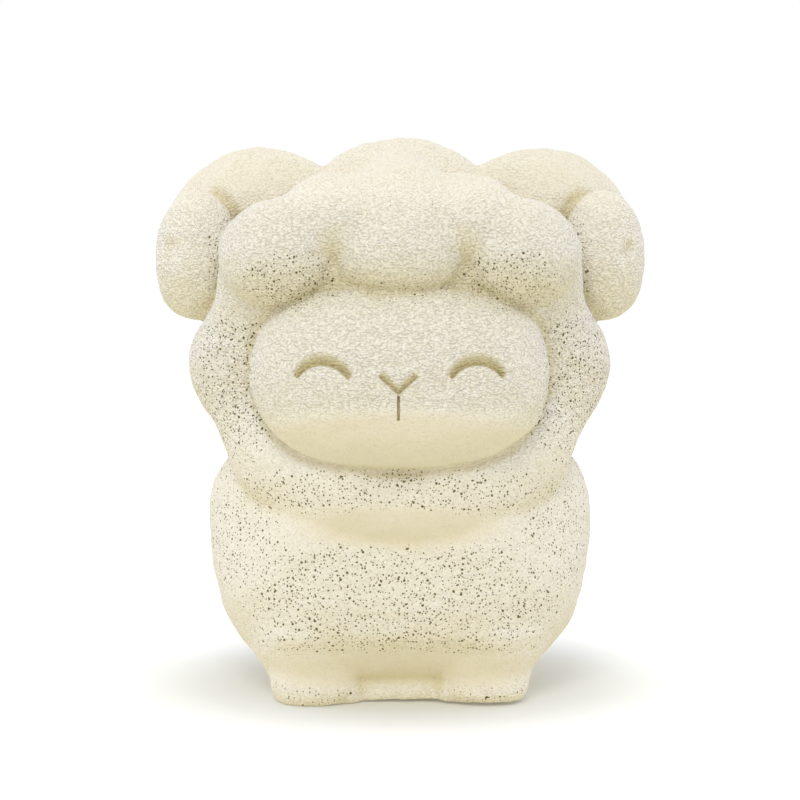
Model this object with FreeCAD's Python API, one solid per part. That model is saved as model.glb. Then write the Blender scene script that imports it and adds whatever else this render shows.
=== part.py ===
import FreeCAD, Part
import math
import os

# Sheep figurine moulded in foam latex over a fibre filling, millimetres.
# The front is -Y, +X is the viewer's right, +Z is up, and the origin is on the floor under the middle.
# Every soft form is a smooth skin over overlapping puffs of wool, so the lobes run into each other as moulded.

Vector = FreeCAD.Vector

# Driving sizes of the head with its mane, and how far its middle is above the middle of the body
head_half_width = 38.0
head_half_depth = 35.0
head_half_height = 36.0
head_rise = 40.0
head_forward = 3.0
head_wall = 3.0

# Driving sizes of the body, whose low end is cut off at the base
body_half_width = 35.0
body_half_depth = 33.0
body_half_height = 26.0
body_cut_off = 2.0
body_wall = 3.0

# Low web that joins the feet under the belly, set in from their outer faces
web_side_inset = 3.2
web_end_inset = 3.2
web_height = 9.0
web_corner_radius = 6.0

# Driving sizes of the face, and how far its middle is set back from the front of the head and down from its middle
face_half_width = 26.8
face_half_height = 16.9
face_half_depth = 14.0
face_set_back = 13.5
face_drop = 6.3
face_lean = 6.0

# Closed smiling eyes, pressed into the face
eye_spacing = 13.5
eye_arch_radius = 4.6
eye_arch_turn = 140.0
eye_groove_width = 1.5
eye_groove_depth = 1.3
eye_drop = 0.7

# Nose notch and mouth line
nose_width = 5.8
nose_drop = 2.9
nose_depth = 1.1
nose_rise = 0.7
mouth_length = 5.2
mouth_width = 0.5
mouth_depth = 1.0

# Curled horns, one a mirror of the other, set out from the middle of the head
horn_coil_rise = 16.2
horn_coil_back = 6.0
horn_eye_radius = 0.6
horn_root_inset = 24.0
horn_tip_inset = 1.1
horn_root_radius = 19.7
horn_tip_radius = 12.0
horn_root_half_width = 12.8
horn_tip_half_width = 7.9
horn_start_turn = -60.0
horn_stop_turn = 356.0
horn_swing_share = 0.18
horn_taper_share = 0.27

# Four short feet
foot_half_width = 7.9
foot_half_depth = 8.6
foot_half_height = 9.0
foot_centre_height = 6.5
foot_side_inset = 19.8
foot_front_inset = 14.4
foot_rear_inset = 14.4

# Tail, whose middle is set in from the back of the body and up from its middle
tail_half_width = 6.5
tail_half_depth = 7.0
tail_half_height = 8.0
tail_rise = 1.0
tail_inset = 0.5

# Patch let into the base, which closes the filling hole, and the holes that the filling goes through
patch_thickness = 1.2
patch_inset = 7.5
patch_corner_radius = 6.5
fill_hole_radius = 12.0
neck_hole_radius = 10.0

# Wool puffs: place and radius as shares of the head's half sizes (x, y, z) and half height (radius).
# A puff off the middle has a twin on the other side.
head_puff_shares = (
    (0.00, -0.47, 0.48, 0.400),
    (0.00, 0.30, 0.600, 0.445),
    (0.54, -0.40, 0.35, 0.350),
    (0.72, -0.18, -0.13, 0.340),
    (0.54, -0.32, -0.56, 0.310),
    (0.20, -0.42, -0.72, 0.390),
    (0.52, 0.38, 0.36, 0.370),
    (0.68, 0.30, -0.20, 0.340),
    (0.38, 0.60, -0.30, 0.350),
    (0.46, 0.22, -0.66, 0.350),
    (0.00, 0.64, 0.08, 0.370),
    (0.00, 0.44, -0.64, 0.380),
)

# Wool puffs of the body, the same way
body_puff_shares = (
    (0.63, -0.12, 0.385, 0.480),
    (0.345, 0.00, 0.01, 0.865),
    (0.23, -0.42, -0.26, 0.630),
    (0.48, -0.34, -0.20, 0.570),
    (0.28, -0.40, 0.24, 0.570),
    (0.36, 0.46, -0.16, 0.640),
    (0.62, 0.30, 0.30, 0.470),
    (0.24, 0.46, 0.40, 0.560),
)

# How full the egg-shaped core is and how round the hollow's shoulders are, as shares,
# how tightly puffs blend, and how square the pebble forms are
core_share = 0.78
shoulder_share = 0.70
blend_power = 13
face_squareness = 2.6
foot_squareness = 3.2
egg_squareness = 2.0

# Rings of points that carry a puffed form, a pebble and a horn
puffed_rings = (32, 18)
pebble_rings = (16, 12)
horn_rings = (9, 20)


def closed_skin(net):
    """A solid under one smooth skin that follows rings of points between two end points."""
    around = len(net)
    spans = len(net[0]) - 3
    skin = Part.BSplineSurface()
    skin.buildFromPolesMultsKnots(
        net,
        [1] * (around + 1),
        [4] + [1] * (spans - 1) + [4],
        list(range(around + 1)),
        list(range(spans + 1)),
        True,
        False,
        3,
        3,
    )
    solid = Part.Solid(Part.Shell([skin.toShape()]))
    return solid if solid.Volume > 0 else solid.reversed()


def ray_net(centre, reach, rings):
    """Points on rays from the centre, in level rings from the lowest point to the highest."""
    around_count, along_count = rings
    net = []
    for i in range(around_count):
        turn = 2 * math.pi * i / around_count
        row = []
        for j in range(along_count):
            tilt = math.pi * j / (along_count - 1)
            direction = Vector(math.sin(tilt) * math.cos(turn), math.sin(tilt) * math.sin(turn), -math.cos(tilt))
            row.append(centre + direction * reach(direction))
        net.append(row)
    for end, beside in ((0, 1), (-1, -2)):
        round_off(net, end, beside)
    return net


def round_off(net, end, beside):
    """Evens the ring beside an end point out to an oval level with it, so that the skin is round there."""
    count = len(net)
    turns = [2 * math.pi * i / count for i in range(count)]
    tip = net[0][end]
    offsets = [row[beside] - tip for row in net]
    along = sum((d * (2 * math.cos(t) / count) for d, t in zip(offsets, turns)), Vector())
    across = sum((d * (2 * math.sin(t) / count) for d, t in zip(offsets, turns)), Vector())
    for row, turn in zip(net, turns):
        offset = along * math.cos(turn) + across * math.sin(turn)
        row[end] = tip
        row[beside] = tip + Vector(offset.x, offset.y, 0)


def reach_of_egg(direction, half, squareness):
    total = sum((abs(d) / h) ** squareness for d, h in zip(direction, half))
    return total ** (-1 / squareness)


def reach_of_puff(direction, centre, radius):
    along = direction.dot(centre)
    left = radius**2 - centre.dot(centre) + along**2
    return along + math.sqrt(left) if left > 0 else 0


def puffed_form(centre, half, puff_shares):
    """A wool form: an egg-shaped core with puffs around it, blended along every ray from the centre."""
    puffs = []
    for x, y, z, radius in puff_shares:
        for side in (1, -1) if x else (1,):
            place = Vector(side * x * half[0], y * half[1], z * half[2])
            puffs.append((place, radius * half[2]))
    core = [core_share * h for h in half]

    def reach(direction):
        reaches = [reach_of_egg(direction, core, egg_squareness)]
        reaches += [reach_of_puff(direction, place, radius) for place, radius in puffs]
        top = max(reaches)
        return top * sum((r / top) ** blend_power for r in reaches) ** (1 / blend_power)

    return closed_skin(ray_net(centre, reach, puffed_rings))


def pebble(centre, half, squareness):
    """An egg with fuller corners, the more so the squarer it is."""
    return closed_skin(ray_net(centre, lambda d: reach_of_egg(d, half, squareness), pebble_rings))


def head_hollow():
    return Part.makeSphere(core_share * min(head_half) - head_wall, head_centre)


def body_hollow():
    """A barrel with round shoulders, a wall smaller than the body's core."""
    radius = core_share * min(body_half_width, body_half_depth) - body_wall
    half_height = core_share * body_half_height - body_wall
    base = body_centre - Vector(0, 0, half_height)
    barrel = Part.makeCylinder(radius, 2 * half_height, base)
    return barrel.makeFillet(shoulder_share * half_height, barrel.Edges[:1] + barrel.Edges[2:])


def above(height, shape):
    """What lies above a level."""
    wide = shape.BoundBox.DiagonalLength
    lower = Part.makeBox(2 * wide, 2 * wide, wide, Vector(-wide, -wide, height - wide))
    return shape.cut(lower)


def mirrored(shape):
    return shape.mirror(Vector(0, 0, 0), Vector(1, 0, 0))


def block_under_feet(side_inset, end_inset, height, corner_radius):
    """A block with rounded corners that stands on the floor, set in from the outer faces of the feet."""
    half_width = foot_sides - side_inset
    length = feet_front + feet_back - 2 * end_inset
    block = Part.makeBox(2 * half_width, length, height, Vector(-half_width, end_inset - feet_front, 0))
    upright = [e for e in block.Edges if abs(e.tangentAt(0).z) > 0.9]
    return block.makeFillet(corner_radius, upright)


body_centre = Vector(0, 0, body_half_height - body_cut_off)
body_half = (body_half_width, body_half_depth, body_half_height)
head_centre = body_centre + Vector(0, -head_forward, head_rise)
head_half = (head_half_width, head_half_depth, head_half_height)
face_centre = head_centre + Vector(0, face_set_back - head_half_depth, -face_drop)
eye_height = face_centre.z - eye_drop
nose_height = face_centre.z + nose_rise
horn_centre = head_centre + Vector(0, horn_coil_back, horn_coil_rise)
horn_root_out = head_half_width - horn_root_inset
horn_tip_out = head_half_width - horn_tip_inset
foot_out = body_half_width - foot_side_inset
foot_front = body_half_depth - foot_front_inset
foot_back = body_half_depth - foot_rear_inset
foot_sides = foot_out + foot_half_width
feet_front = foot_front + foot_half_depth
feet_back = foot_back + foot_half_depth


def neck_hole():
    return Part.makeCylinder(neck_hole_radius, head_rise, body_centre)


def base_patch():
    return block_under_feet(patch_inset, patch_inset, patch_thickness, patch_corner_radius)


def fill_hole():
    return Part.makeCylinder(fill_hole_radius, body_centre.z - patch_thickness, Vector(0, 0, patch_thickness))


def face_pebble(inset=0):
    half = (face_half_width - inset, face_half_depth - inset, face_half_height - inset)
    form = pebble(face_centre, half, face_squareness)
    form.rotate(face_centre, Vector(1, 0, 0), -face_lean)
    return form


def prism_through_face(outline):
    """An outline in the XZ plane, drawn through the face from front to back."""
    reach = 2 * face_half_depth
    outline.translate(Vector(0, face_centre.y - reach, 0))
    return Part.Face(outline).extrude(Vector(0, reach, 0))


def eye_prism(side):
    """An arch of even width with round ends."""
    half_turn = math.radians(eye_arch_turn / 2)
    inner = eye_arch_radius - eye_groove_width / 2
    outer = eye_arch_radius + eye_groove_width / 2
    across = side * eye_spacing

    def at(radius, turn):
        return Vector(across + radius * math.sin(turn), 0, eye_height + radius * math.cos(turn))

    def end_cap(turn):
        cap = math.copysign(eye_groove_width / 2, turn)
        middle = at(eye_arch_radius, turn) + Vector(math.cos(turn), 0, -math.sin(turn)) * cap
        return Part.Arc(at(outer, turn), middle, at(inner, turn))

    edges = [
        Part.Arc(at(outer, -half_turn), at(outer, 0), at(outer, half_turn)),
        end_cap(half_turn),
        Part.Arc(at(inner, half_turn), at(inner, 0), at(inner, -half_turn)),
        end_cap(-half_turn),
    ]
    return prism_through_face(Part.Wire([edge.toShape() for edge in edges]))


def nose_prism():
    corners = [
        Vector(-nose_width / 2, 0, nose_height),
        Vector(nose_width / 2, 0, nose_height),
        Vector(0, 0, nose_height - nose_drop),
    ]
    return prism_through_face(Part.makePolygon(corners + corners[:1]))


def mouth_prism():
    top = nose_height - nose_drop + mouth_width
    low = top - mouth_length
    half = mouth_width / 2
    corners = [Vector(-half, 0, top), Vector(half, 0, top), Vector(half, 0, low), Vector(-half, 0, low)]
    return prism_through_face(Part.makePolygon(corners + corners[:1]))


def make_face(head_form):
    face = face_pebble().cut(head_form)
    grooves = (
        (eye_prism(1), eye_groove_depth),
        (eye_prism(-1), eye_groove_depth),
        (nose_prism(), nose_depth),
        (mouth_prism(), mouth_depth),
    )
    for prism, depth in grooves:
        face = face.cut(prism.cut(face_pebble(depth)))
    return face


def faded(share, reach_share):
    """A value that falls smoothly from one to nothing."""
    return math.exp(-((share / reach_share) ** 2))


def horn_point(share, around, close):
    """A point of the curled horn's skin. The turn starts in the head, goes over, back, down, forward and up."""
    turn = math.radians(horn_start_turn + share * (horn_stop_turn - horn_start_turn))
    rooted = (1 + math.cos(math.pi * share)) / 2
    outer = horn_tip_radius + (horn_root_radius - horn_tip_radius) * rooted
    thick = (outer - horn_eye_radius) / 2
    wide = horn_tip_half_width + (horn_root_half_width - horn_tip_half_width) * faded(share, horn_taper_share)
    out = horn_tip_out + (horn_root_out - horn_tip_out) * faded(share, horn_swing_share)
    radius = outer - thick + thick * close * math.sin(around)
    across = out + wide * close * math.cos(around)
    return Vector(across, horn_centre.y + radius * math.sin(turn), horn_centre.z + radius * math.cos(turn))


def make_horn(head_form):
    columns, rings = horn_rings
    end_shares = (0, 0.60, 0.88)
    net = []
    for i in range(columns):
        around = 2 * math.pi * i / columns
        row = []
        for j in range(rings):
            from_end = min(j, rings - 1 - j)
            close = end_shares[from_end] if from_end < len(end_shares) else 1
            row.append(horn_point(j / (rings - 1), around, close))
        net.append(row)
    return closed_skin(net).cut(head_form)


def foot_pebble(along):
    centre = Vector(foot_out, along, foot_centre_height)
    return pebble(centre, (foot_half_width, foot_half_depth, foot_half_height), foot_squareness)


def make_foot(along, body_form):
    return above(0, foot_pebble(along).cut(body_form)).cut(base_patch())


def make_tail(body_form):
    centre = body_centre + Vector(0, body_half_depth - tail_inset, tail_rise)
    half = (tail_half_width, tail_half_depth, tail_half_height)
    return pebble(centre, half, egg_squareness).cut(body_form)


def make_body(body_form, head_form, feet):
    web = block_under_feet(web_side_inset, web_end_inset, web_height, web_corner_radius)
    skin = above(0, body_form.cut(head_form)).fuse(web).cut(base_patch())
    for foot in feet:
        skin = skin.cut(foot)
    return skin.cut(body_hollow()).cut(fill_hole())


def make_filling(head_form):
    in_head = head_hollow().fuse(neck_hole())
    in_body = body_hollow().cut(head_form).fuse(fill_hole())
    return in_head.fuse(in_body)


def main():
    os.makedirs("parts", exist_ok=True)
    head_form = puffed_form(head_centre, head_half, head_puff_shares)
    body_form = puffed_form(body_centre, body_half, body_puff_shares)
    front_foot = make_foot(-foot_front, body_form)
    rear_foot = make_foot(foot_back, body_form)
    horn = make_horn(head_form)
    feet = {
        "foot_front_right": front_foot,
        "foot_front_left": mirrored(front_foot),
        "foot_rear_right": rear_foot,
        "foot_rear_left": mirrored(rear_foot),
    }
    parts = {
        "head": head_form.cut(head_hollow()).cut(neck_hole()),
        "body": make_body(body_form, head_form, feet.values()),
        "face": make_face(head_form),
        "horn_right": horn,
        "horn_left": mirrored(horn),
        **feet,
        "tail": make_tail(body_form),
        "base_patch": base_patch(),
        "filling": make_filling(head_form),
    }
    for name, shape in parts.items():
        print(name, len(shape.Solids), round(shape.Volume), shape.isValid())
        shape.exportStep(f"parts/{name}.step")


main()
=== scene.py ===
import math

import bpy
import numpy as np
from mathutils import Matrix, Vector
from mathutils.bvhtree import BVHTree
from mathutils.kdtree import KDTree


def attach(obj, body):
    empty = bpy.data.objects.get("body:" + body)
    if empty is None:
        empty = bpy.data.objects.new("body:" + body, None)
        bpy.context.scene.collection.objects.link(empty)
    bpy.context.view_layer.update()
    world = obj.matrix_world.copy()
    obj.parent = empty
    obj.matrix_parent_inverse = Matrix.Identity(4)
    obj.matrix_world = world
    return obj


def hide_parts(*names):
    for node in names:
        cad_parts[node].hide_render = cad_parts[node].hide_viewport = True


# Sheep figurine moulded in natural foam latex. Sizes are in millimetres and mm turns them to metres.
# It is one soft colour all over, so the look lives in the lobes, the creases, the wrinkles and the pinholes.

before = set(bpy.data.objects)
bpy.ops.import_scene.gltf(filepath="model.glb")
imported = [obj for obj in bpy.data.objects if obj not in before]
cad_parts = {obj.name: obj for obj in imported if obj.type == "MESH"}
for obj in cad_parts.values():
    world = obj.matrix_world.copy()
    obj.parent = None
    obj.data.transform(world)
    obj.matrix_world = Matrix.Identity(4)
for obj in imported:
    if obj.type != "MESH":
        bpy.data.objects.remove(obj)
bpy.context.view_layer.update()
mm = 0.001
footNames = ("foot_front_right", "foot_front_left", "foot_rear_right", "foot_rear_left")
print("frame loaded")


# Helpers for picking, shaping and finishing a piece

def pick(piece):
    bpy.ops.object.select_all(action="DESELECT")
    piece.select_set(True)
    bpy.context.view_layer.objects.active = piece


def finishWith(piece, kind, **settings):
    pick(piece)
    modifier = piece.modifiers.new(kind.title(), kind)
    for setting, value in settings.items():
        setattr(modifier, setting, value)
    bpy.ops.object.modifier_apply(modifier=modifier.name)


def copyOfNodes(pieceName, *nodeNames):
    copies = []
    for nodeName in nodeNames:
        copy = bpy.data.objects.new(pieceName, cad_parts[nodeName].data.copy())
        bpy.context.scene.collection.objects.link(copy)
        copies.append(copy)
    pick(copies[0])
    for copy in copies:
        copy.select_set(True)
    if len(copies) > 1:
        bpy.ops.object.join()
    piece = bpy.context.view_layer.objects.active
    piece.data.materials.clear()
    bpy.ops.object.mode_set(mode="EDIT")
    bpy.ops.mesh.select_all(action="SELECT")
    bpy.ops.mesh.remove_doubles(threshold=0.002 * mm)
    bpy.ops.object.mode_set(mode="OBJECT")
    return piece


def wrapped(piece):
    # closes the grooves and the hollow back with a tight wrapping
    pick(piece)
    bpy.ops.object.mode_set(mode="EDIT")
    bpy.ops.mesh.select_all(action="SELECT")
    bpy.ops.mesh.convex_hull()
    bpy.ops.object.mode_set(mode="OBJECT")
    return piece


def copyOf(piece, pieceName):
    copy = bpy.data.objects.new(pieceName, piece.data.copy())
    bpy.context.scene.collection.objects.link(copy)
    return copy


def joined(pieceName, *parts):
    pick(parts[0])
    for part in parts:
        part.select_set(True)
    bpy.ops.object.join()
    parts[0].name = pieceName
    return parts[0]


def swollen(piece, voxel, amount):
    finishWith(piece, "REMESH", mode="VOXEL", voxel_size=voxel * mm)
    finishWith(piece, "DISPLACE", strength=amount * mm, mid_level=0)
    return piece


def placed(centre, half):
    # gives the new primitive its place and half sizes, and puts them into its mesh
    piece = bpy.context.active_object
    piece.scale = [h * mm for h in half]
    piece.location = [c * mm for c in centre]
    bpy.ops.object.transform_apply(location=True, rotation=True, scale=True)
    return piece


def egg(centre, half):
    bpy.ops.object.select_all(action="DESELECT")
    bpy.ops.mesh.primitive_uv_sphere_add(segments=96, ring_count=48, radius=1)
    return placed(centre, half)


def boxCutter(low, high):
    bpy.ops.object.select_all(action="DESELECT")
    bpy.ops.mesh.primitive_cube_add(size=2)
    return placed([(a + b) / 2 for a, b in zip(low, high)], [(b - a) / 2 for a, b in zip(low, high)])


def partOff(pieceName, whole, cutter):
    part = copyOf(whole, pieceName)
    finishWith(part, "BOOLEAN", operation="INTERSECT", solver="MANIFOLD", object=cutter)
    finishWith(whole, "BOOLEAN", operation="DIFFERENCE", solver="MANIFOLD", object=cutter)
    bpy.data.objects.remove(cutter)
    print(pieceName, len(part.data.polygons), "faces")
    return part


def spotsOf(piece):
    spots = np.empty(len(piece.data.vertices) * 3, dtype=np.float32)
    piece.data.vertices.foreach_get("co", spots)
    return spots.reshape(-1, 3) / mm


def moveSpots(piece, spots):
    piece.data.vertices.foreach_set("co", (spots * mm).astype(np.float32).ravel())
    piece.data.update()


def normalsOf(piece):
    normals = np.empty(len(piece.data.vertices) * 3, dtype=np.float32)
    piece.data.vertices.foreach_get("normal", normals)
    return normals.reshape(-1, 3)


def eased(value, start, stop):
    # climbs from 0 at start to 1 at stop, gently at both ends
    share = np.clip((value - start) / (stop - start), 0, 1)
    return share * share * (3 - 2 * share)


def band(value, low, rise, fall, top):
    # 1 between rise and fall, and 0 below low and above top
    return eased(value, low, rise) * (1 - eased(value, fall, top))


def reachOf(spots, centre, half):
    # 1 on the surface of an egg and of its twin on the other side, less inside
    folded = np.column_stack([np.abs(spots[:, 0]), spots[:, 1], spots[:, 2]])
    return np.linalg.norm((folded - np.array(centre)) / np.array(half), axis=1)


def nearEgg(spots, centre, half, rim=0.35):
    # 1 inside the egg and its twin, 0 outside, with a soft rim
    return 1 - eased(reachOf(spots, centre, half), 1 - rim, 1 + rim)


def addZone(piece, zoneName, weights, levels=12):
    group = piece.vertex_groups.new(name=zoneName)
    steps = np.round(weights * levels).astype(int)
    for step in range(1, levels + 1):
        group.add(np.flatnonzero(steps == step).tolist(), step / levels, "REPLACE")


# Moulding: all forms start as one skin, so that they run into each other, and are then parted

moulding = {
    "voxel": 0.36,
    "roundsPerVoxel": 4,
    "creaseSoftness": 0.45,
    "faceWiden": 1.035,
    "faceShorten": 0.965,
    "groove": (0.05, 0.45, 0.6, 2.2),  # from the proud form: starts, deep, climbs again, ends
    "faceGrooveDepth": 0.6,
    "faceGrooveTop": (62.0, 70.0),
    "faceGrooveTopFade": 0.8,  # share of the groove that is gone at its top
    "curlGrooveDepth": 0.7,
    "curlFront": (-5.0, 3.0),
    "faceZone": ((0, -30.0, 57.7), (31.0, 15.0, 21.5)),
    "hornZone": ((33.0, 3.0, 80.0), (16.0, 20.0, 19.0)),
    "faceReachRim": 0.3,  # rims are shares of the zones' sizes, over which the zones fade
    "faceRim": 0.1,
    "hornRim": 0.2,
    "woolSoftness": 1.15,
    "crispBase": (6.0, 12.0),
    "baseSoftShare": 0.2,
    "footJoinHigh": (2.5, 6.0, 17.0, 24.0),
    "footJoinWide": (6.0, 9.0),
    "footJoinSoftness": 2.6,
    "browZone": ((0, -18.0, 85.0), (34.0, 24.0, 11.5)),
    "browSoftness": 1.9,
    "unevenness": ((9.0, 0.45), (3.0, 0.16)),
    "baseWaves": 3,
    "baseTurn": 0.4,  # radians by which the waves are turned round the base
    "baseLift": 0.5,
    "baseEdge": 2.5,
    "footLean": 1.2,
    "footLeanHigh": (1.0, 6.0, 9.0, 13.0),
    "footLeanFront": (-24.0, -14.0),
    "webRecess": 1.4,
    "webHigh": (4.0, 5.6),
    "webWide": (6.6, 8.2),
    "webFront": (-24.0, -16.0),
    # the painted shade in the creases: how far the smoothing spreads, and the hollows from none to full shade
    "creaseSpread": 2.4,
    "creaseShadeDepth": (0.03, 0.50),
}


def soften(piece, softness, **settings):
    # as many rounds as spread a crease over that softness
    rounds = max(1, round(moulding["roundsPerVoxel"] * (softness / moulding["voxel"]) ** 2))
    finishWith(piece, "SMOOTH", factor=0.5, iterations=rounds, **settings)


# Fuller lobes than the plain forms have, as middle and half sizes: top, brow, brow sides over the face's
# corners, the fill between them, low belly and feet, then the horn's filled arch and the curl's front lobe
woolLobes = (
    ((0, 1.0, 89.4), (16.0, 12.0, 10.3)),
    ((0, -22.0, 79.7), (13.0, 14.0, 9.8)),
    ((20.6, -21.6, 79.0), (11.0, 12.8, 9.8)),
    ((11.5, -19.5, 84.5), (10.0, 13.0, 8.8)),
    ((0, -14.0, 15.0), (27.0, 15.6, 9.4)),
    ((16.0, -16.8, 10.6), (10.4, 11.8, 8.2)),
)
hornLobes = (
    ((25.2, 4.2, 87.4), (12.0, 10.6, 10.5)),
    ((36.6, -6.4, 78.4), (7.6, 7.6, 11.7)),
)

faceForm = wrapped(copyOfNodes("faceForm", "face"))
spots = spotsOf(faceForm)
spots[:, 0] *= moulding["faceWiden"]
spots[:, 2] = np.max(spots[:, 2]) - moulding["faceShorten"] * (np.max(spots[:, 2]) - spots[:, 2])
moveSpots(faceForm, spots)
faceCutter = copyOf(faceForm, "faceCutter")
forms = [copyOfNodes("forms", "head", "body", "tail", "horn_right", "horn_left", *footNames), faceForm]
for (across, along, up), half in woolLobes + hornLobes:
    for side in (1, -1) if across else (1,):  # a lobe off the middle has a twin
        forms.append(egg((side * across, along, up), half))
skin = joined("woolBody", *forms)
finishWith(skin, "REMESH", mode="VOXEL", voxel_size=moulding["voxel"] * mm)
soften(skin, moulding["creaseSoftness"])

# the face stands proud: the wool is drawn in along its edge
spots = spotsOf(skin)
faceTree = BVHTree.FromPolygons(
    [vertex.co for vertex in faceCutter.data.vertices],
    [polygon.vertices for polygon in faceCutter.data.polygons])
faceGap = np.zeros(len(spots))
for number in np.flatnonzero(nearEgg(spots, *moulding["faceZone"], rim=moulding["faceReachRim"]) > 0):
    corner = skin.data.vertices[number].co
    nearest, direction, _, gap = faceTree.find_nearest(corner)
    faceGap[number] = gap / mm if (corner - nearest).dot(direction) > 0 else 0
topFade = moulding["faceGrooveTopFade"] * eased(spots[:, 2], *moulding["faceGrooveTop"])
faceIn = moulding["faceGrooveDepth"] * band(faceGap, *moulding["groove"]) * (1 - topFade)

# and so does the front lobe of each curl, off the horn's arch
curlMiddle, curlHalf = hornLobes[1]
curlGap = (reachOf(spots, curlMiddle, curlHalf) - 1) * curlHalf[1]
curlIn = moulding["curlGrooveDepth"] * band(curlGap, *moulding["groove"])
curlIn *= nearEgg(spots, *moulding["hornZone"], rim=moulding["hornRim"])
curlIn *= 1 - eased(spots[:, 1], *moulding["curlFront"])
moveSpots(skin, spots - normalsOf(skin) * np.maximum(faceIn, curlIn)[:, None])

# the wool is softer than the face and the horns
spots = spotsOf(skin)
crispFace = nearEgg(spots, *moulding["faceZone"], rim=moulding["faceRim"])
crispHorns = nearEgg(spots, *moulding["hornZone"], rim=moulding["hornRim"])
crisp = np.maximum(crispFace, crispHorns)
baseShare = moulding["baseSoftShare"]
aboveBase = baseShare + (1 - baseShare) * eased(spots[:, 2], *moulding["crispBase"])
addZone(skin, "wool", (1 - crisp) * aboveBase)
soften(skin, moulding["woolSoftness"], vertex_group="wool")

# the feet run into the belly, and the brow's lobes into each other, without a crease
spots = spotsOf(skin)
joining = band(spots[:, 2], *moulding["footJoinHigh"]) * eased(np.abs(spots[:, 0]), *moulding["footJoinWide"])
addZone(skin, "footJoin", joining)
soften(skin, moulding["footJoinSoftness"], vertex_group="footJoin")
addZone(skin, "brow", nearEgg(spotsOf(skin), *moulding["browZone"]) * (1 - crisp))
soften(skin, moulding["browSoftness"], vertex_group="brow")

# the moulding is a little uneven, in low swells and smaller waves that rise and sink by their height
for waveSize, waveHeight in moulding["unevenness"]:
    clouds = bpy.data.textures.new("unevenSkin", "CLOUDS")
    clouds.noise_scale = waveSize * mm
    finishWith(skin, "DISPLACE", texture=clouds, texture_coords="GLOBAL", strength=2 * waveHeight * mm)

# the trimmed base isn't quite flat, so its edge lifts off the floor in low waves
spots = spotsOf(skin)
around = np.arctan2(spots[:, 1], spots[:, 0])
lift = moulding["baseLift"] * (0.5 - 0.5 * np.cos(moulding["baseWaves"] * around + moulding["baseTurn"]))
spots[:, 2] = np.maximum(spots[:, 2], 0) + lift * (1 - eased(spots[:, 2], 0, moulding["baseEdge"]))

# the feet lean back under the belly, and the web between the front ones lies further back
leaning = band(spots[:, 2], *moulding["footLeanHigh"])
spots[:, 1] += moulding["footLean"] * leaning * (1 - eased(spots[:, 1], *moulding["footLeanFront"]))
inWeb = 1 - eased(spots[:, 2], *moulding["webHigh"])
inWeb *= 1 - eased(np.abs(spots[:, 0]), *moulding["webWide"])
spots[:, 1] += moulding["webRecess"] * inWeb * (1 - eased(spots[:, 1], *moulding["webFront"]))
moveSpots(skin, spots)
skin.vertex_groups.clear()
pick(skin)
bpy.ops.object.shade_smooth()
wholeSkin = copyOf(skin, "wholeSkin")

# where a crease lies, for the painted shade in the creases: a much smoother copy stands out over the skin
# there
smoothSkin = copyOf(skin, "smoothSkin")
soften(smoothSkin, moulding["creaseSpread"])
hollow = ((spotsOf(smoothSkin) - spotsOf(skin)) * normalsOf(skin)).sum(axis=1)
skinCreaseShade = eased(hollow, *moulding["creaseShadeDepth"])
bpy.data.objects.remove(smoothSkin)
skinTree = KDTree(len(hollow))
for number, vertex in enumerate(skin.data.vertices):
    skinTree.insert(vertex.co, number)
skinTree.balance()
print("skin moulded", len(skin.data.polygons), "faces")

# The cutters stand off the forms by the margins, so that the partings lie beside the creases
parting = {
    "faceMargin": 0.7,
    "hornMargin": 0.45,
    "hornVoxel": 0.6,
    "tail": ((0, 34.0, 25.0), (7.4, 7.0, 8.8)),
    "footLow": (6.4, 9.6, -2),
    "footHigh": (32, 36, 6.6),
    "neck": ((0, -1, 64), (40.0, 46.0, 44.0)),
}

pieces = {}
finishWith(faceCutter, "DISPLACE", strength=parting["faceMargin"] * mm, mid_level=0)
pieces["face"] = partOff("smilingFace", skin, faceCutter)
for side in ("right", "left"):
    toSide = 1 if side == "right" else -1
    hornForms = [egg((toSide * across, along, up), half) for (across, along, up), half in hornLobes]
    hornForms = joined("hornCutter", copyOfNodes("hornForm", "horn_" + side), *hornForms)
    hornCutter = swollen(hornForms, parting["hornVoxel"], parting["hornMargin"])
    pieces["horn_" + side] = partOff("curledHorn" + side.title(), skin, hornCutter)
pieces["tail"] = partOff("shortTail", skin, egg(*parting["tail"]))
for footName in footNames:
    toSide = 1 if "right" in footName else -1
    toEnd = -1 if "front" in footName else 1
    corners = [(toSide * x, toEnd * y, z) for x, y, z in (parting["footLow"], parting["footHigh"])]
    cutter = boxCutter(np.min(corners, axis=0), np.max(corners, axis=0))
    pieces[footName] = partOff(footName.title().replace("_", "").replace("Foot", "foot"), skin, cutter)
pieces["head"] = partOff("woolHead", skin, egg(*parting["neck"]))
pieces["body"] = skin
print("skin parted")


# Face: eyes, nose and mouth pressed in, each with a soft side and a crisp one

features = {
    "fineBoxes": (((6.5, 56.5), (20.0, 64.5)), ((-4.8, 50.4), (4.8, 60.4))),
    "fineCuts": 3,
    "eyeMiddle": (13.0, 55.6),
    "eyeRadius": 5.05,
    "eyeHalfTurn": 54.0,
    "eyeWidth": 2.3,
    "eyeEndWidth": 1.5,
    "eyeDepth": 1.25,
    "noseLow": (-0.25, 55.8),
    "noseHigh": (3.15, 58.9),
    "noseWidth": 1.5,
    "noseDepth": 0.95,
    "mouthTop": 55.5,
    "mouthLow": 51.5,
    "mouthHalfWidth": 0.2,
    "mouthDepth": 0.95,
    "crispEdge": 0.12,
    "eyeFade": (-2.0, 5.0),  # degrees before and past the end
    "noseFade": (-0.5, 0.2),
    "mouthSideFade": 0.1,
    "mouthLowFade": 0.15,
    "mouthTopFade": 0.3,
    "frontLimit": -28.0,
}


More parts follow.
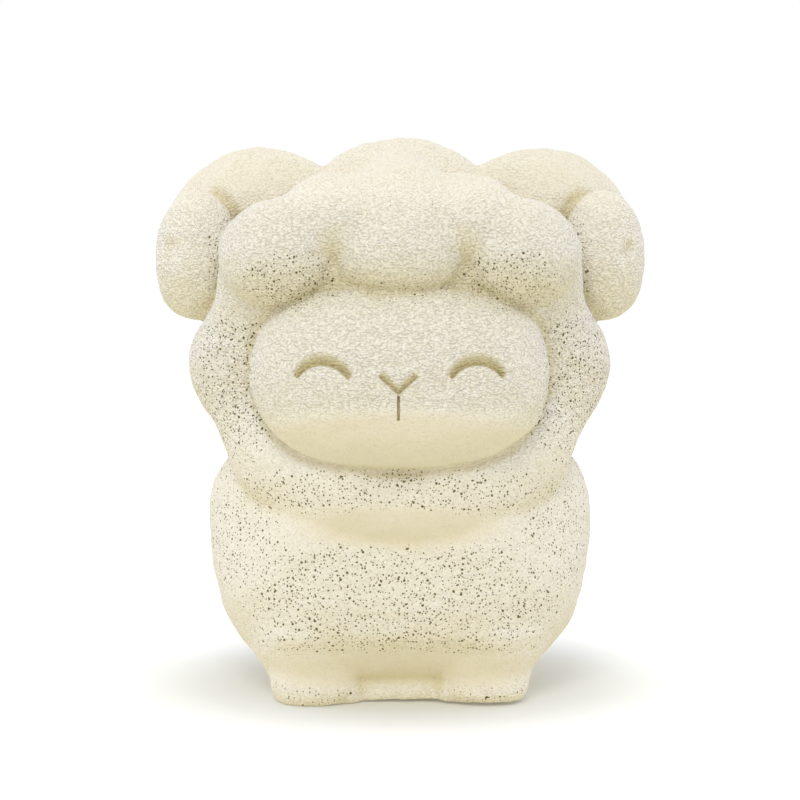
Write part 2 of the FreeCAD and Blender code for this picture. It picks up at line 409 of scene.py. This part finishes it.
def pressedSlope(above, width, depth):
    # deepest at a crisp low edge, and rising gently to the skin above it
    crispSide = eased(above, -features["crispEdge"], features["crispEdge"])
    return depth * crispSide * np.clip(1 - above / width, 0, 1)


def eyePress(x, z):
    across = np.abs(x) - features["eyeMiddle"][0]
    up = z - features["eyeMiddle"][1]
    turn = np.degrees(np.abs(np.arctan2(across, up)))
    above = np.hypot(across, up) - features["eyeRadius"]
    share = np.clip(turn / features["eyeHalfTurn"], 0, 1)
    width = features["eyeWidth"] + (features["eyeEndWidth"] - features["eyeWidth"]) * share**2
    fadeFrom, fadeTo = features["eyeFade"]
    ending = 1 - eased(turn, features["eyeHalfTurn"] + fadeFrom, features["eyeHalfTurn"] + fadeTo)
    return pressedSlope(above, width, features["eyeDepth"]) * ending


def nosePress(x, z):
    lowX, lowZ = features["noseLow"]
    run, climb = features["noseHigh"][0] - lowX, features["noseHigh"][1] - lowZ
    length = math.hypot(run, climb)
    across, up = np.abs(x - lowX), z - lowZ
    above = (up * run - across * climb) / length
    along = (across * run + up * climb) / length
    fadeFrom, fadeTo = features["noseFade"]
    ending = 1 - eased(along, length + fadeFrom, length + fadeTo)
    return pressedSlope(above, features["noseWidth"], features["noseDepth"]) * ending


def mouthPress(x, z):
    across = np.abs(x - features["noseLow"][0])
    sideFade, lowFade = features["mouthSideFade"], features["mouthLowFade"]
    beside = 1 - eased(across, features["mouthHalfWidth"] - sideFade, features["mouthHalfWidth"] + sideFade)
    within = eased(z, features["mouthLow"] - lowFade, features["mouthLow"] + lowFade)
    within *= 1 - eased(z, features["mouthTop"], features["mouthTop"] + features["mouthTopFade"])
    return features["mouthDepth"] * beside * within


face = pieces["face"]
spots = spotsOf(face)
centres = np.array([np.mean(spots[list(polygon.vertices)], axis=0) for polygon in face.data.polygons])
chosen = np.zeros(len(centres), dtype=bool)
for (lowX, lowZ), (highX, highZ) in features["fineBoxes"]:
    across = np.abs(centres[:, 0])
    chosen |= (across > lowX) & (across < highX) & (centres[:, 2] > lowZ) & (centres[:, 2] < highZ)
chosen &= centres[:, 1] < features["frontLimit"]
pick(face)
bpy.ops.object.mode_set(mode="EDIT")
bpy.ops.mesh.select_mode(type="FACE")
bpy.ops.mesh.select_all(action="DESELECT")
bpy.ops.object.mode_set(mode="OBJECT")
face.data.polygons.foreach_set("select", chosen)
bpy.ops.object.mode_set(mode="EDIT")
bpy.ops.mesh.subdivide(number_cuts=features["fineCuts"])
bpy.ops.object.mode_set(mode="OBJECT")

spots = spotsOf(face)
x, z = spots[:, 0], spots[:, 2]
pressed = np.maximum.reduce([eyePress(x, z), nosePress(x, z), mouthPress(x, z)])
pressed = np.where(spots[:, 1] < features["frontLimit"], pressed, 0)
spots[:, 1] += pressed
moveSpots(face, spots)
print("face pressed", len(face.data.polygons), "faces")


# Horns: the eye of each curl, a slanted notch on the right and a soft dimple on the left

notches = {
    "right": {"middle": (40.5, 79.6), "lean": 20.0, "halfLength": 1.7, "halfWidth": 0.8, "depth": 1.5},
    "left": {"middle": (40.6, 79.6), "lean": 0.0, "halfLength": 2.1, "halfWidth": 1.6, "depth": 1.8},
    "frontLimit": 3.0,
}
reshaped = {"face": pressed}  # how far each vertex of a piece was pushed in

for side in ("right", "left"):
    notch = notches[side]
    horn = pieces["horn_" + side]
    spots = spotsOf(horn)
    lean = math.radians(notch["lean"])
    across, up = np.abs(spots[:, 0]) - notch["middle"][0], spots[:, 2] - notch["middle"][1]
    along = (up * math.cos(lean) + across * math.sin(lean)) / notch["halfLength"]
    beside = (across * math.cos(lean) - up * math.sin(lean)) / notch["halfWidth"]
    dent = notch["depth"] * np.exp(-(along**2) - beside**2)
    reshaped["horn_" + side] = np.where(spots[:, 1] < notches["frontLimit"], dent, 0)
    spots[:, 1] += reshaped["horn_" + side]
    moveSpots(horn, spots)


# Patch let into the base, its trimmed edges just broken

patchSheet = {
    "edgeBreak": 0.25,
    "edgeTurn": 50.0,
}
patch = copyOfNodes("basePatchSheet", "base_patch")
edgeTurn = math.radians(patchSheet["edgeTurn"])
finishWith(patch, "BEVEL", width=patchSheet["edgeBreak"] * mm, segments=2, angle_limit=edgeTurn)
pieces["base_patch"] = patch


# Filling, a soft pad of fibre

fillingPad = {
    "voxel": 1.2,
    "smoothingRounds": 6,
}
filling = copyOfNodes("fibreFilling", "filling")
finishWith(filling, "REMESH", mode="VOXEL", voxel_size=fillingPad["voxel"] * mm)
finishWith(filling, "SMOOTH", factor=0.5, iterations=fillingPad["smoothingRounds"])
pieces["filling"] = filling
print("all pieces made")


# Materials

def linear(hexColour):
    channels = [int(hexColour[i:i + 2], 16) / 255 for i in (0, 2, 4)]
    return [c / 12.92 if c <= 0.04045 else ((c + 0.055) / 1.055) ** 2.4 for c in channels] + [1.0]


def addNode(tree, kind, inputs=None, **settings):
    # a node given as an input stands for its first output
    node = tree.nodes.new(kind)
    for setting, value in settings.items():
        setattr(node, setting, value)
    for socket, value in (inputs or {}).items():
        if isinstance(value, bpy.types.Node):
            value = value.outputs[0]
        if isinstance(value, bpy.types.NodeSocket):
            tree.links.new(value, node.inputs[socket])
        else:
            node.inputs[socket].default_value = value
    return node


def newMaterial(materialName):
    material = bpy.data.materials.new(materialName)
    material.use_nodes = True
    material.node_tree.nodes.clear()
    return material, material.node_tree


# inputs 0 to 4 of a Map Range are the value, from low, from high, to low and to high
softly = {"interpolation_type": "SMOOTHSTEP"}

# inputs 6 and 7 of a colour Mix are its two colours, and output 2 is what comes out
inColour = {"data_type": "RGBA"}


# Where the skin has pinholes and wrinkles, and where it is smooth: middle, half sizes and strength

poreZones = (
    ((0, -30, 19), (34, 18, 12), 1.0),
    ((0, -28, 37.8), (33, 17, 4.6), 0.95),
    ((28, -14, 56), (9, 16, 15), 1.0),
    ((31, -5, 77), (5, 13, 10), 0.75),
    ((19, -31, 75.0), (9, 9, 5.5), 0.85),
    ((0, -34, 74), (12, 8, 3), 0.45),
    ((30, -20, 30), (10, 18, 12), 0.75),
    ((0, 30, 40), (30, 16, 6), 0.9),
    ((0, 32, 14), (28, 18, 10), 0.9),
    ((34, 4, 48), (12, 28, 12), 0.8),
    ((15, -26, 3), (9, 8, 3), 0.6),
)
smoothZones = (
    ((0, -33, 32.0), (18, 14, 3.6), 0.95),
    ((0, -30, 6.5), (26, 14, 3.6), 0.95),
    ((0, -36, 47.4), (24, 12, 5.6), 0.85),
    ((0, 32, 31), (26, 12, 3), 0.8),
)

# How strong the wrinkles are at the bottom, where they reach their full strength, and what is taken off them
skinCover = {
    "lowWrinkles": 0.5,
    "wrinkleRise": (38.0, 58.0),
    "crownLoss": 0.45,
    "crownRise": (84.0, 93.0),
    "hornLoss": 0.15,
    "smoothLoss": 0.9,
    "fewestPores": 0.22,
    "fewestFacePores": 0.10,
}


def strongest(spots, zones):
    return np.maximum.reduce([strength * nearEgg(spots, centre, half) for centre, half, strength in zones])


def writeMask(piece, maskName, values):
    mask = piece.data.attributes.new(maskName, "FLOAT", "POINT")
    mask.data.foreach_set("value", values.astype(np.float32))


for key, piece in pieces.items():
    spots = spotsOf(piece)
    smoothness = strongest(spots, smoothZones)
    rising = eased(spots[:, 2], *skinCover["wrinkleRise"])
    wrinkles = skinCover["lowWrinkles"] + (1 - skinCover["lowWrinkles"]) * rising
    wrinkles -= skinCover["crownLoss"] * eased(spots[:, 2], *skinCover["crownRise"])
    wrinkles -= skinCover["hornLoss"] * nearEgg(spots, *moulding["hornZone"])
    fewest = skinCover["fewestFacePores" if key == "face" else "fewestPores"]
    writeMask(piece, "pores", np.maximum(strongest(spots, poreZones), fewest) * (1 - smoothness))
    writeMask(piece, "wrinkles", wrinkles * (1 - skinCover["smoothLoss"] * smoothness))
    # painted shade in the creases, read off the whole skin
    creaseShadeMask = skinCreaseShade[[skinTree.find(vertex.co)[1] for vertex in piece.data.vertices]]
    writeMask(piece, "creaseShadeMask", creaseShadeMask)
    writeMask(piece, "pressed", pressed if key == "face" else np.zeros(len(spots)))


# Natural foam latex, moulded: an open foam under a thin cast skin. To the eye it is matt, creamy and slightly
# see-through, with a crinkled skin of small bumps and pinholes where bubbles broke through.

foamLook = {
    # painted light and shade: the first colour is for what faces up, the second for what faces down
    "upColour": "FAF7F2",
    "shadedDownColour": "F1E7C6",
    "upTurn": (-0.7, 0.2),  # how far the skin faces up
    # painted warm shade where the wrinkles are weak, most on the smooth undersides
    "warmColour": "D6CAAA",
    "underShadeWrinkles": (0.05, 0.7),  # from the smoothest skin to the wrinkled
    "underShadeShare": 0.6,
    # painted shade in the creases
    "creaseColour": "E3D8AE",
    "creaseShadeShare": 0.5,
    # painted shade in the gaps of the crinkles and in the grain's lowest specks
    "gapColour": "988D68",
    "gapShadeShare": 0.38,
    # painted shade in the pressed-in eyes, nose and mouth, darker the deeper they go
    "pressedColour": "CDC193",
    "pressedShadeDepth": (0.05, 0.7),
    "pressedShadeShare": 0.8,
    "poreColour": "70653B",
    "bumpWidth": 0.58,
    "bumpHeight": 0.40,
    "bumpEdge": (0.15, 0.90),  # shares of the way from one bump's middle to the next
    "gapEdge": (0.52, 0.82),
    "bumpSway": 0.6,
    "swaySize": 1.5,
    "grainSize": 0.30,  # the real grain is too fine to show, so this one is as coarse as it needs to be
    "grainShare": 0.28,
    "speckShadeGrain": (0.42, 0.22),  # from plain grain to its lowest spots
    "speckShadeShare": 0.22,
    "poreSpacing": (1.4, 0.80, 0.54),
    "poreRadius": (0.25, 0.19, 0.15),
    "poreChance": (1.0, 1.4),  # a cell's random share and the mask added up, from no hole to the largest
    "poreScatter": 0.85,
    "poreEdge": 0.03,
    "relief": 0.30,
    "roughness": 0.85,
    "ior": 1.5,
    "specular": 0.25,
}


def foamLatexMoulded():
    material, tree = newMaterial("foamLatexMoulded")
    perMm = 1 / mm
    place = addNode(tree, "ShaderNodeTexCoord").outputs["Object"]
    masks = {}
    for maskName in ("pores", "wrinkles", "creaseShadeMask", "pressed"):
        masks[maskName] = addNode(tree, "ShaderNodeAttribute", attribute_name=maskName).outputs["Fac"]

    # crinkled skin: rounded bumps that are wider than high, swayed so that no row shows
    swayInputs = {"Vector": place, "Scale": perMm / foamLook["swaySize"], "Detail": 1.0}
    sway = addNode(tree, "ShaderNodeTexNoise", swayInputs).outputs["Color"]
    swayReach = (foamLook["bumpSway"] * mm,) * 3
    sway = addNode(tree, "ShaderNodeVectorMath", {0: sway, 1: swayReach}, operation="MULTIPLY")
    swayed = addNode(tree, "ShaderNodeVectorMath", {0: place, 1: sway}, operation="ADD")
    bumpScale = [perMm / foamLook[size] for size in ("bumpWidth", "bumpWidth", "bumpHeight")]
    bumpPlace = addNode(tree, "ShaderNodeMapping", {"Vector": swayed, "Scale": bumpScale})
    bumps = addNode(tree, "ShaderNodeTexVoronoi", {"Vector": bumpPlace, "Scale": 1.0}).outputs["Distance"]
    low, high = foamLook["bumpEdge"]
    dome = addNode(tree, "ShaderNodeMapRange", {0: bumps, 1: low, 2: high, 3: 1.0, 4: 0.0}, **softly)
    # the gaps between the bumps, which get painted shade
    low, high = foamLook["gapEdge"]
    gap = addNode(tree, "ShaderNodeMapRange", {0: bumps, 1: low, 2: high}, **softly)
    grainInputs = {"Vector": place, "Scale": perMm / foamLook["grainSize"], "Detail": 1.0}
    grain = addNode(tree, "ShaderNodeTexNoise", grainInputs)

    # pinholes: a few large, many middling and many tiny ones, culled where the mask is low
    pore = None
    low, high = foamLook["poreChance"]
    for spacing, largest in zip(foamLook["poreSpacing"], foamLook["poreRadius"]):
        cellInputs = {"Vector": place, "Scale": perMm / spacing, "Randomness": foamLook["poreScatter"]}
        cells = addNode(tree, "ShaderNodeTexVoronoi", cellInputs)
        chance = addNode(tree, "ShaderNodeSeparateColor", {0: cells.outputs["Color"]})
        chance = addNode(tree, "ShaderNodeMath", {0: chance, 1: masks["pores"]}, operation="ADD")
        size = addNode(tree, "ShaderNodeMapRange", {0: chance, 1: low, 2: high, 3: 0.0, 4: largest / spacing})
        away = cells.outputs["Distance"]
        inside = addNode(tree, "ShaderNodeMath", {0: size, 1: away}, operation="SUBTRACT")
        edge = foamLook["poreEdge"] / spacing
        hole = addNode(tree, "ShaderNodeMapRange", {0: inside, 1: 0.0, 2: edge}, **softly)
        if pore is not None:
            hole = addNode(tree, "ShaderNodeMath", {0: pore, 1: hole}, operation="MAXIMUM")
        pore = hole

    relief = addNode(tree, "ShaderNodeMath", {0: dome, 1: masks["wrinkles"]}, operation="MULTIPLY")
    reliefInputs = {0: grain, 1: foamLook["grainShare"], 2: relief}
    relief = addNode(tree, "ShaderNodeMath", reliefInputs, operation="MULTIPLY_ADD")
    bumpInputs = {"Height": relief, "Strength": 1.0, "Distance": foamLook["relief"] * mm}
    bump = addNode(tree, "ShaderNodeBump", bumpInputs)

    # painted light and shade: paler where it faces up, as if lit from above, and a warm painted shade where
    # the wrinkles are weak, most on the smooth undersides
    facing = addNode(tree, "ShaderNodeNewGeometry").outputs["Normal"]
    facing = addNode(tree, "ShaderNodeSeparateXYZ", {0: facing}).outputs["Z"]
    low, high = foamLook["upTurn"]
    paintedTopLight = addNode(tree, "ShaderNodeMapRange", {0: facing, 1: low, 2: high})
    # painted warm shade: strongest on the smooth skin of the undersides, a little on the low parts and the
    # crown
    low, high = foamLook["underShadeWrinkles"]
    underShadeInputs = {0: masks["wrinkles"], 1: low, 2: high, 3: foamLook["underShadeShare"], 4: 0.0}
    warm = addNode(tree, "ShaderNodeMapRange", underShadeInputs)
    # painted shade in the creases
    creaseShadeInputs = {0: masks["creaseShadeMask"], 1: foamLook["creaseShadeShare"]}
    crease = addNode(tree, "ShaderNodeMath", creaseShadeInputs, operation="MULTIPLY")

    # painted shade: darker in the gaps of the crinkles and in the grain's lowest specks
    gapShadeInputs = {0: masks["wrinkles"], 1: foamLook["gapShadeShare"]}
    gapShade = addNode(tree, "ShaderNodeMath", gapShadeInputs, operation="MULTIPLY")
    gapShade = addNode(tree, "ShaderNodeMath", {0: gap, 1: gapShade}, operation="MULTIPLY")
    low, high = foamLook["speckShadeGrain"]
    speckShadeInputs = {0: grain, 1: low, 2: high, 3: 0.0, 4: foamLook["speckShadeShare"]}
    speckShade = addNode(tree, "ShaderNodeMapRange", speckShadeInputs, **softly)
    gapShade = addNode(tree, "ShaderNodeMath", {0: gapShade, 1: speckShade}, operation="ADD")
    # painted shade in the pressed-in eyes, nose and mouth, growing with their depth
    low, high = foamLook["pressedShadeDepth"]
    pressedShadeInputs = {0: masks["pressed"], 1: low, 2: high, 3: 0.0, 4: foamLook["pressedShadeShare"]}
    hollow = addNode(tree, "ShaderNodeMapRange", pressedShadeInputs, **softly)

    # each colour lies over the ones before it; all but the pinholes' are painted light or shade
    colour = linear(foamLook["shadedDownColour"])
    shares = {"up": paintedTopLight, "warm": warm, "crease": crease, "gap": gapShade, "pressed": hollow, "pore": pore}
    for layer, share in shares.items():
        over = linear(foamLook[layer + "Colour"])
        colour = addNode(tree, "ShaderNodeMix", {0: share, 6: colour, 7: over}, **inColour).outputs[2]
    shader = addNode(tree, "ShaderNodeBsdfPrincipled", {
        "Base Color": colour,
        "Roughness": foamLook["roughness"],
        "IOR": foamLook["ior"],
        "Specular IOR Level": foamLook["specular"],
        "Normal": bump,
    })
    addNode(tree, "ShaderNodeOutputMaterial", {"Surface": shader})
    return material


# Latex sheet, cast and trimmed: the same natural latex without foam, so it is smoother and more yellow

sheetLook = {
    "deepColour": "E2D6AE",
    "paleColour": "EBE1BF",
    "cloudSize": 4.0,
    "grainSize": 0.5,
    "grainStrength": 0.6,
    "relief": 0.05,
    "roughness": 0.6,
    "ior": 1.52,
}


def latexSheetTrimmed():
    material, tree = newMaterial("latexSheetTrimmed")
    place = addNode(tree, "ShaderNodeTexCoord").outputs["Object"]
    cloudInputs = {"Vector": place, "Scale": 1 / (sheetLook["cloudSize"] * mm), "Detail": 3.0}
    cloud = addNode(tree, "ShaderNodeTexNoise", cloudInputs)
    deep, pale = linear(sheetLook["deepColour"]), linear(sheetLook["paleColour"])
    colour = addNode(tree, "ShaderNodeMix", {0: cloud, 6: deep, 7: pale}, **inColour).outputs[2]
    grainInputs = {"Vector": place, "Scale": 1 / (sheetLook["grainSize"] * mm), "Detail": 2.0}
    grain = addNode(tree, "ShaderNodeTexNoise", grainInputs)
    bump = addNode(tree, "ShaderNodeBump", {
        "Height": grain,
        "Strength": sheetLook["grainStrength"],
        "Distance": sheetLook["relief"] * mm,
    })
    shader = addNode(tree, "ShaderNodeBsdfPrincipled", {
        "Base Color": colour,
        "Roughness": sheetLook["roughness"],
        "IOR": sheetLook["ior"],
        "Normal": bump,
    })
    addNode(tree, "ShaderNodeOutputMaterial", {"Surface": shader})
    return material


# Polyester fibre, carded: loose white strands that lie every way and look soft and woolly

fibreLook = {
    "deepColour": "E4E3DE",
    "paleColour": "F6F6F3",
    "tuftSize": 2.0,
    "strandDetail": 6.0,
    "strandRoughness": 0.7,
    "strandTwist": 3.0,
    "relief": 0.6,
    "roughness": 0.9,
    "ior": 1.55,
}


def polyesterFibreCarded():
    material, tree = newMaterial("polyesterFibreCarded")
    strands = addNode(tree, "ShaderNodeTexNoise", {
        "Vector": addNode(tree, "ShaderNodeTexCoord").outputs["Object"],
        "Scale": 1 / (fibreLook["tuftSize"] * mm),
        "Detail": fibreLook["strandDetail"],
        "Roughness": fibreLook["strandRoughness"],
        "Distortion": fibreLook["strandTwist"],
    })
    deep, pale = linear(fibreLook["deepColour"]), linear(fibreLook["paleColour"])
    colour = addNode(tree, "ShaderNodeMix", {0: strands, 6: deep, 7: pale}, **inColour).outputs[2]
    bumpInputs = {"Height": strands, "Strength": 1.0, "Distance": fibreLook["relief"] * mm}
    bump = addNode(tree, "ShaderNodeBump", bumpInputs)
    shader = addNode(tree, "ShaderNodeBsdfPrincipled", {
        "Base Color": colour,
        "Roughness": fibreLook["roughness"],
        "IOR": fibreLook["ior"],
        "Normal": bump,
    })
    addNode(tree, "ShaderNodeOutputMaterial", {"Surface": shader})
    return material


# Finish: each piece gets its material and its place in the frame

shading = {
    "sharpTurn": 60.0,
    "plainBelow": 0.001,
}
finishes = {
    "base_patch": ("patch_latex", latexSheetTrimmed()),
    "filling": ("fibre_filling", polyesterFibreCarded()),
}
foamFinish = ("foam_latex", foamLatexMoulded())

for key, piece in pieces.items():
    slotName, material = finishes.get(key, foamFinish)
    piece.data.materials.clear()
    piece.data.materials.append(material)
    piece.data.polygons.foreach_set("material_index", [0] * len(piece.data.polygons))
    pick(piece)
    bpy.ops.object.shade_smooth_by_angle(angle=math.radians(shading["sharpTurn"]))
    if key not in finishes:
        # the whole skin's shading goes on across the partings, so that no seam shows, and what was pressed in
        # keeps its own
        pressedIn = reshaped.get(key, np.zeros(len(piece.data.vertices)))
        addZone(piece, "plainSkin", (pressedIn < shading["plainBelow"]).astype(float))
        finishWith(
            piece, "DATA_TRANSFER", object=wholeSkin, use_loop_data=True, data_types_loops={"CUSTOM_NORMAL"},
            loop_mapping="POLYINTERP_NEAREST", vertex_group="plainSkin")
        piece.vertex_groups.clear()
    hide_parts(key)
    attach(piece, "root")
bpy.data.objects.remove(wholeSkin)
print("materials set")


# Stage: floor, soft light and the photograph's view

view = {
    "cameraDistance": 420,
    "cameraRise": 5.0,
    "aim": (0, 0, 51.67),
    "pixelsPerMillimetre": 5.421,
    "frameWidth": 800,
    "sensorWidth": 36.0,
    "nearClip": 10.0,
}
light = {
    "frontStrength": 0.42,
    "backStrength": 0.97,
    "frontTurn": (-0.95, -0.1),  # how far a ray goes from front to back
    "frontColour": "FDF2CE",
    "backColour": "FFFFFF",
    "tintTurn": (-0.8, 0.0),
    "keyWatts": 2.75,
    "keyPlace": (-120, -700, 650),
    "keySize": 400,
    "keyColour": "FDFAE8",
    "sideWatts": 0.95,
    "sidePlace": (900, 100, 350),
    "sideSize": 700,
    "sideColour": "FFFFFF",
    "lampAim": (0, 0, 50),
    "floorSize": 6000,
    "floorWhite": "DDE0E6",
    # the glow close to the base is kept low, which paints part of the shadow there
    "shadowedGlow": 0.06,
    "farGlow": 0.4,
    "glowAway": (28, 60),
    "floorBounce": 0.22,
}

# White paper, matt: its glow, seen by the camera alone, keeps it white round the soft shadow at the base; the
# glow is weaker near the base, so that shadow is partly cast and partly painted
floorMaterial, floorTree = newMaterial("whitePaperFloor")
paper = addNode(floorTree, "ShaderNodeBsdfDiffuse", {"Color": linear(light["floorWhite"])})
floorPlace = addNode(floorTree, "ShaderNodeTexCoord").outputs["Object"]
away = addNode(floorTree, "ShaderNodeVectorMath", {0: floorPlace}, operation="LENGTH").outputs["Value"]
# painted shadow: the glow is weakest near the base and grows out to the far glow
near, far = light["glowAway"]
glowInputs = {0: away, 1: near * mm, 2: far * mm, 3: light["shadowedGlow"], 4: light["farGlow"]}
shadowedGlow = addNode(floorTree, "ShaderNodeMapRange", glowInputs, **softly)
floorSeen = addNode(floorTree, "ShaderNodeLightPath").outputs["Is Camera Ray"]
glowing = addNode(floorTree, "ShaderNodeMix", {0: floorSeen, 2: light["floorBounce"], 3: shadowedGlow})
glow = addNode(floorTree, "ShaderNodeEmission", {"Strength": glowing})
glowingPaper = addNode(floorTree, "ShaderNodeAddShader", {0: paper, 1: glow})
addNode(floorTree, "ShaderNodeOutputMaterial", {"Surface": glowingPaper})
bpy.ops.object.select_all(action="DESELECT")
bpy.ops.mesh.primitive_plane_add(size=light["floorSize"] * mm)
floor = bpy.context.active_object
floor.name = "paleFloor"
floor.data.materials.append(floorMaterial)

# the room: white and bright behind and beside, dimmer and warmer in front, and plain white behind the object
world = bpy.data.worlds.new("whiteStudio")
bpy.context.scene.world = world
world.use_nodes = True
sky = world.node_tree
sky.nodes.clear()
direction = addNode(sky, "ShaderNodeTexCoord").outputs["Generated"]
backward = addNode(sky, "ShaderNodeSeparateXYZ", {0: direction}).outputs["Y"]
low, high = light["frontTurn"]
strengthInputs = {0: backward, 1: low, 2: high, 3: light["frontStrength"], 4: light["backStrength"]}
strength = addNode(sky, "ShaderNodeMapRange", strengthInputs)
low, high = light["tintTurn"]
behind = addNode(sky, "ShaderNodeMapRange", {0: backward, 1: low, 2: high})
frontColour, backColour = linear(light["frontColour"]), linear(light["backColour"])
roomColour = addNode(sky, "ShaderNodeMix", {0: behind, 6: frontColour, 7: backColour}, **inColour).outputs[2]
roomLight = addNode(sky, "ShaderNodeBackground", {"Color": roomColour, "Strength": strength})
backdrop = addNode(sky, "ShaderNodeBackground", {"Color": backColour, "Strength": 1.0})
skySeen = addNode(sky, "ShaderNodeLightPath").outputs["Is Camera Ray"]
room = addNode(sky, "ShaderNodeMixShader", {0: skySeen, 1: roomLight, 2: backdrop})
addNode(sky, "ShaderNodeOutputWorld", {"Surface": room})


def softbox(lightName, place, size, watts, lightColour):
    lamp = bpy.data.lights.new(lightName, "AREA")
    lamp.energy = watts
    lamp.color = linear(lightColour)[:3]
    lamp.size = size * mm
    holder = bpy.data.objects.new(lightName, lamp)
    bpy.context.scene.collection.objects.link(holder)
    holder.location = Vector(place) * mm
    towards = Vector(light["lampAim"]) - Vector(place)
    holder.rotation_euler = towards.to_track_quat("-Z", "Y").to_euler()


softbox("keySoftbox", light["keyPlace"], light["keySize"], light["keyWatts"], light["keyColour"])
sideAcross, sideAlong, sideUp = light["sidePlace"]
for lightName, toSide in (("leftSoftbox", -1), ("rightSoftbox", 1)):
    sidePlace = (toSide * sideAcross, sideAlong, sideUp)
    softbox(lightName, sidePlace, light["sideSize"], light["sideWatts"], light["sideColour"])

cameraData = bpy.data.cameras.new("photoCamera")
camera = bpy.data.objects.new("photoCamera", cameraData)
bpy.context.scene.collection.objects.link(camera)
halfWidth = view["frameWidth"] / 2 / view["pixelsPerMillimetre"]
cameraData.sensor_width = view["sensorWidth"]
cameraData.lens = view["sensorWidth"] / 2 * view["cameraDistance"] / halfWidth
cameraData.clip_start = view["nearClip"] * mm
rise = math.radians(view["cameraRise"])
back = Vector((0, -math.cos(rise), math.sin(rise)))
camera.location = (Vector(view["aim"]) + back * view["cameraDistance"]) * mm
camera.rotation_euler = (-back).to_track_quat("-Z", "Y").to_euler()
bpy.context.scene.camera = camera
bpy.context.scene.view_settings.view_transform = "Standard"
print("stage set")
